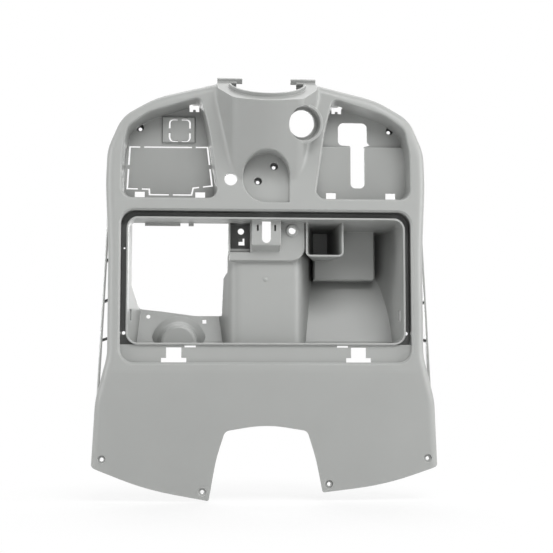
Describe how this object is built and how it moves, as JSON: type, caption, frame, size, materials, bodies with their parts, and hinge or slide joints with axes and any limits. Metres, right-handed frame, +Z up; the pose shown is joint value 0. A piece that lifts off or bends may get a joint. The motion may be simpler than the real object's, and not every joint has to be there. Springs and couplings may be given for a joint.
{
  "type": "scooter front glove box",
  "caption": "Moulded front glove box panel for a scooter: column cover with lock funnel, upper recesses, framed storage compartment, and an apron with legs beside the tunnel.",
  "frame": {"origin": "midway between the outer floor screws, on the seats of their heads", "axes": "+X to the right as the rider sees the panel, +Y away from the rider, +Z up"},
  "size_m": [0.4358, 0.1759, 0.5359],
  "materials": {
    "panel": "fine matte grain"
  },
  "bodies": {
    "root": {"glove_box_panel": "panel"}
  },
  "joints": []
}
